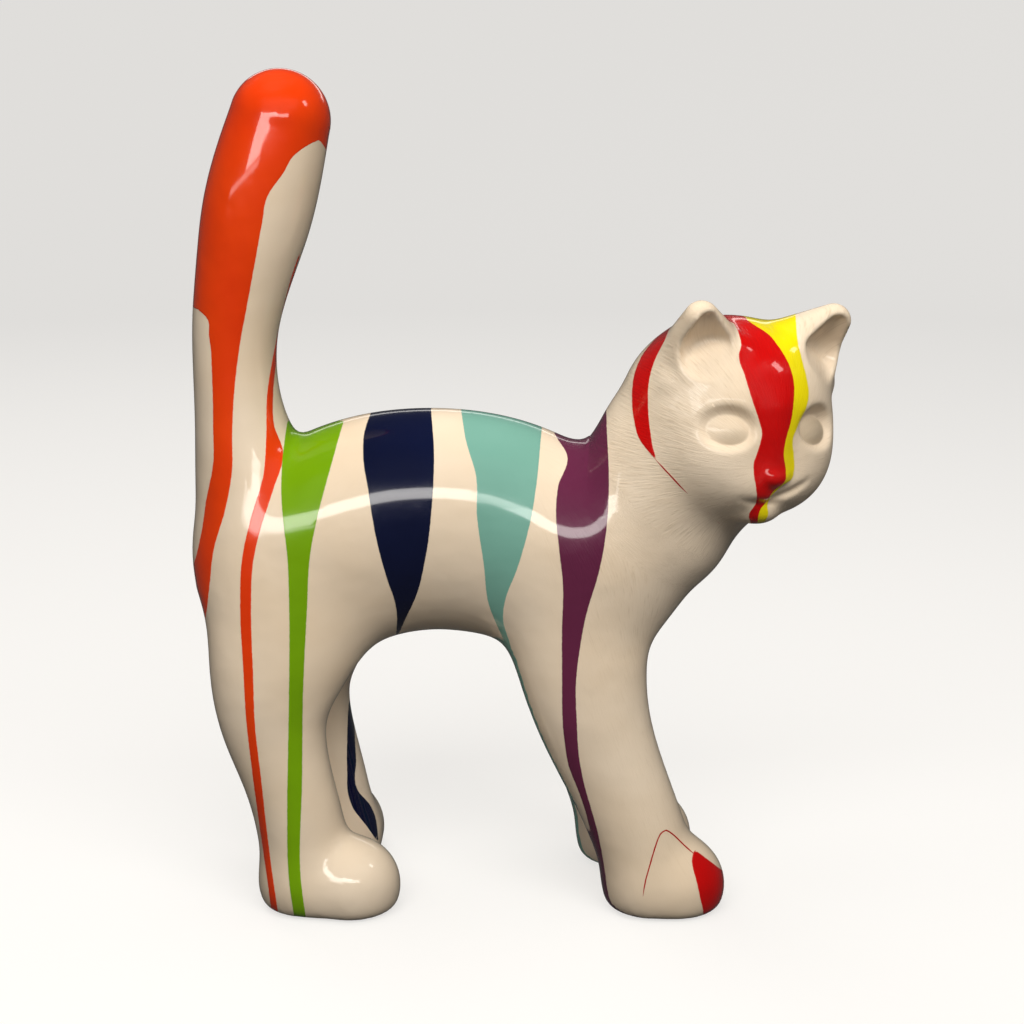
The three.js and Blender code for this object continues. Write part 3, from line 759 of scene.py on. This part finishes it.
class Shader:
    def __init__(self, name):
        self.material = bpy.data.materials.new(name)
        self.material.use_nodes = True
        self.tree = self.material.node_tree
        self.tree.nodes.clear()

    def node(self, kind, settings, sockets):
        node = self.tree.nodes.new(kind)
        for name, setting in settings.items():
            setattr(node, name, setting)
        for name, item in sockets.items():
            place = node.inputs[name]
            if isinstance(item, Value):
                self.tree.links.new(item.socket, place)
            elif isinstance(item, bpy.types.NodeSocket):
                self.tree.links.new(item, place)
            else:
                place.default_value = item
        return node

    def field(self, name):
        return Value(self.tree, self.node("ShaderNodeAttribute", {"attribute_name": name}, {}).outputs["Fac"])

    def noise(self, vector, scale, detail=2.0, roughness=0.5):
        settings = {"noise_dimensions": "3D"}
        sockets = {"Vector": vector, "Scale": scale, "Detail": detail, "Roughness": roughness}
        return Value(self.tree, self.node("ShaderNodeTexNoise", settings, sockets).outputs["Fac"])

    def mixed(self, factor, first, second):
        node = self.node("ShaderNodeMix", {"data_type": "RGBA"}, {0: factor, 6: first, 7: second})
        return node.outputs[2]


def colour(red, green, blue):  # from the usual 0 to 255 to the linear values of a shader
    parts = [value / 255 for value in (red, green, blue)]
    return (*[p / 12.92 if p <= 0.04045 else ((p + 0.055) / 1.055) ** 2.4 for p in parts], 1)


paint = {
    "cream": (241, 222, 197),
    "creamDeep": (229, 205, 173),
    "hair": (176, 152, 122),
    # a greyer cream for the eyeballs: painted shade standing in for the shade they lie in
    "eye": (188, 170, 144),
    "eyeShadeAmount": 0.75,
    "hairDepth": 0.3,
    "runs": [  # later ones lie over earlier ones: colour, and a deeper tone of it
        ("orangePaint", (238, 68, 6), (214, 40, 1)),
        ("greenPaint", (124, 172, 4), (106, 152, 1)),
        ("navyPaint", (10, 18, 52), (5, 9, 34)),
        ("tealPaint", (124, 176, 160), (108, 162, 146)),
        ("purplePaint", (104, 40, 70), (88, 28, 58)),
        ("yellowPaint", (244, 226, 8), (234, 212, 0)),
        ("redPaint", (210, 8, 6), (182, 3, 3)),
    ],
    "lineColour": (176, 10, 8),
    "lineWidth": 0.55,  # half, in millimetres
    "edgeSharpness": 3.2,  # per millimetre
    "edgeWander": 0.35,  # millimetres
    "filmHeight": 0.00014,
    "waveHeight": 0.0010,
    "furHeight": 0.00024,
    "coatRoughness": 0.07,
}


def makePaint():
    shader = Shader("painted resin")
    place = shader.node("ShaderNodeTexCoord", {}, {}).outputs["Object"]
    cloud = shader.noise(place, 16, 3)
    wander = (shader.noise(place, 420, 2) - 0.5) * paint["edgeWander"]
    strands = shader.node("ShaderNodeCombineXYZ", {}, {
        0: shader.field("furAcross"), 1: shader.field("furRound"), 2: shader.field("furAlong")})
    fur = shader.noise(strands.outputs[0], 2.2, 3, 0.6)
    strength = shader.field("furStrength")
    tone = ((cloud - 0.35) * 1.6 + (fur - 0.5) * strength * 0.9).clamped()
    base = shader.mixed(tone, colour(*paint["cream"]), colour(*paint["creamDeep"]))
    hairs = ((fur - 0.58) * 6).clamped() * strength * paint["hairDepth"]
    base = shader.mixed(hairs, base, colour(*paint["hair"]))
    # the eyeballs are mixed towards that greyer cream as painted shade; the same mask takes the gloss coat off them
    onEye = (1.3 - shader.field("eyeGap") * 2).clamped()
    base = shader.mixed(onEye * paint["eyeShadeAmount"], base, colour(*paint["eye"]))
    film = None
    for name, bright, deep in paint["runs"]:
        mask = ((shader.field(name) + wander) * paint["edgeSharpness"] + 0.5).clamped()
        tint = shader.mixed(tone, colour(*bright), colour(*deep))
        base = shader.mixed(mask, base, tint)
        thick = ((shader.field(name) + wander) * 0.9 + 0.3).clamped()
        film = thick if film is None else film.math("MAXIMUM", film, thick)
    lineSide = shader.field("lineSide")
    width = (shader.field("lineReach") * 0.1 + 0.1).clamped() * paint["lineWidth"]
    line = ((width - lineSide.math("ABSOLUTE", lineSide)) * 6 + 0.5).clamped()
    line = line * (shader.field("lineReach") * 2).clamped()
    base = shader.mixed(line, base, colour(*paint["lineColour"]))
    roughness = 0.32 + (cloud - 0.5) * 0.14 + (fur - 0.5) * strength * 0.12 - film * 0.1
    satin = shader.field("satin") * (1 - film)
    roughness = roughness + satin * 0.12
    uneven = (fur - 0.5).math("ABSOLUTE", fur - 0.5) * strength
    coat = (1 - uneven * 0.5 - satin * 0.6 - onEye * (1 - film) * 0.6).clamped()
    furBump = shader.node("ShaderNodeBump", {}, {
        "Height": fur * strength, "Distance": paint["furHeight"], "Strength": 1.0})
    wavy = shader.node("ShaderNodeBump", {}, {
        "Height": shader.noise(place, 38, 2.5), "Distance": paint["waveHeight"], "Strength": 1.0,
        "Normal": furBump.outputs[0]})
    filmBump = shader.node("ShaderNodeBump", {}, {
        "Height": film, "Distance": paint["filmHeight"], "Strength": 1.0, "Normal": wavy.outputs[0]})
    principled = shader.node("ShaderNodeBsdfPrincipled", {}, {
        "Base Color": base,
        "Roughness": roughness,
        "Normal": filmBump.outputs[0],
        "Coat Weight": coat,
        "Coat Roughness": paint["coatRoughness"],
        "Coat IOR": 1.5,
        "IOR": 1.46,
        "Specular IOR Level": 0.2,
    })
    shader.node("ShaderNodeOutputMaterial", {}, {"Surface": principled.outputs[0]})
    return shader.material


def makeCat():
    points, triangles = makeShape()
    mesh, shift = makeMesh(points, triangles)
    mesh.materials.append(makePaint())
    piece = bpy.data.objects.new("castCat", mesh)
    bpy.context.scene.collection.objects.link(piece)
    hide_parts("cat")
    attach(piece, "root")
    print("cat: painted,", len(mesh.vertices), "points")
    return shift


def aim(piece, target):
    direction = np.array(target) - np.array(piece.location)
    flat = math.hypot(direction[0], direction[1])
    tilt = math.pi / 2 + math.atan2(direction[2], flat)
    piece.rotation_euler = (tilt, 0, math.atan2(-direction[0], direction[1]))


def makeCamera(shift):
    data = bpy.data.cameras.new("camera")
    data.sensor_width = 36
    data.lens = view["focal"] / view["picture"] * data.sensor_width
    camera = bpy.data.objects.new("camera", data)
    camera.location = (shift[0], shift[1] - view["back"] * mm, view["height"] * mm)
    camera.rotation_euler = (math.radians(90 - view["down"]), 0, 0)
    bpy.context.scene.collection.objects.link(camera)
    bpy.context.scene.camera = camera


backdrop = {
    "floor": 2.4,  # metres from the middle to the bend
    "bend": 0.9,
    "top": 3.6,
    "bendSteps": 12,
    "turns": 96,
    "paper": (150, 149, 147),
    "glow": 0.68,
    "glowColour": (255, 253, 250),
}


def makeStage():
    # A round paper floor that bends up into a wall on every side.
    profile = [(0.02, 0.0), (backdrop["floor"], 0.0)]
    for step in range(1, backdrop["bendSteps"] + 1):
        angle = math.pi / 2 * step / backdrop["bendSteps"]
        out = backdrop["floor"] + backdrop["bend"] * math.sin(angle)
        profile.append((out, backdrop["bend"] * (1 - math.cos(angle))))
    profile.append((backdrop["floor"] + backdrop["bend"], backdrop["top"]))
    lift = -0.0004  # just below the paws
    turns = backdrop["turns"]
    corners = [(r * math.cos(2 * math.pi * k / turns), r * math.sin(2 * math.pi * k / turns), z + lift)
               for r, z in profile for k in range(turns)]
    faces = [tuple(range(turns))]
    for ring in range(len(profile) - 1):
        for k in range(turns):
            after = (k + 1) % turns
            inner, outer = ring * turns, (ring + 1) * turns
            faces.append((inner + k, outer + k, outer + after, inner + after))
    mesh = bpy.data.meshes.new("backdrop")
    mesh.from_pydata(corners, [], faces)
    for face in mesh.polygons:
        face.use_smooth = True
    shader = Shader("pale paper")
    principled = shader.node("ShaderNodeBsdfPrincipled", {}, {
        "Base Color": colour(*backdrop["paper"]), "Roughness": 0.9, "Specular IOR Level": 0.1,
        "Emission Color": colour(*backdrop["glowColour"]), "Emission Strength": backdrop["glow"]})
    shader.node("ShaderNodeOutputMaterial", {}, {"Surface": principled.outputs[0]})
    mesh.materials.append(shader.material)
    floor = bpy.data.objects.new("floor", mesh)
    bpy.context.scene.collection.objects.link(floor)
    # The paper is only a ground to see the cat and its shadow against, and throws no light on it.
    floor.visible_diffuse = floor.visible_glossy = floor.visible_shadow = False


# Place, size across and down in metres, watts, aim, and whether a lamp lights the colours
# or shows in the gloss.
lamps = [
    {"name": "frontSoft", "place": (0.1, -1.1, 1.36), "size": (2.2, 0.8), "power": 32,
     "aim": (0, 0, 0.2), "use": "light"},
    {"name": "frontLow", "place": (0.25, -1.35, 0.3), "size": (1.8, 0.35), "power": 0.7,
     "aim": (0, 0, 0.1), "use": "light"},
    {"name": "ceiling", "place": (-0.2, 0.1, 1.6), "size": (1.2, 0.8), "power": 9,
     "aim": (0, 0, 0.2), "use": "light"},
    {"name": "back", "place": (-0.9, 1.3, 1.5), "size": (0.8, 0.8), "power": 6,
     "aim": (0, 0, 0.25), "use": "light"},
    {"name": "stripLeft", "place": (-0.8, -1.4, 0.76), "size": (0.6, 0.28), "power": 4,
     "aim": (-0.1, 0, 0.22), "use": "gloss"},
    {"name": "stripMiddle", "place": (-0.22, -1.45, 0.78), "size": (0.56, 0.24), "power": 3.6,
     "aim": (0, 0, 0.22), "use": "gloss"},
    {"name": "stripRight", "place": (0.31, -1.45, 0.75), "size": (0.5, 0.2), "power": 2.0,
     "aim": (0.1, 0, 0.22), "use": "gloss"},
    {"name": "leftLow", "place": (-0.96, -1.15, 0.56), "size": (1.2, 0.05), "power": 0.75,
     "aim": (-0.1, 0, 0.3), "use": "gloss"},
    {"name": "rightHigh", "place": (0.95, -0.25, 1.1), "size": (0.16, 0.22), "power": 0.7,
     "aim": (0, 0, 0.1), "use": "gloss"},
    {"name": "backStrip", "place": (0.1, 1.45, 0.9), "size": (1.6, 0.15), "power": 1.3,
     "aim": (0, 0, 0.22), "use": "gloss"},
]
room = {"lampColour": (1.0, 0.975, 0.935), "air": (1.0, 0.99, 0.97, 1), "airStrength": 0.06}


def makeLights():
    for lamp in lamps:
        data = bpy.data.lights.new(lamp["name"], "AREA")
        data.shape = "RECTANGLE"
        data.size, data.size_y = lamp["size"]
        data.energy = lamp["power"]
        data.color = room["lampColour"]
        light = bpy.data.objects.new(lamp["name"], data)
        light.visible_camera = False
        light.visible_glossy = lamp["use"] == "gloss"
        light.visible_diffuse = lamp["use"] == "light"
        light.location = lamp["place"]
        aim(light, lamp["aim"])
        bpy.context.scene.collection.objects.link(light)
    world = bpy.data.worlds.new("studio")
    world.use_nodes = True
    background = world.node_tree.nodes["Background"]
    background.inputs["Color"].default_value = room["air"]
    background.inputs["Strength"].default_value = room["airStrength"]
    bpy.context.scene.world = world
    bpy.context.scene.view_settings.view_transform = "Standard"


catShift = makeCat()
makeCamera(catShift)
makeStage()
makeLights()
print("camera, floor and lights: done")
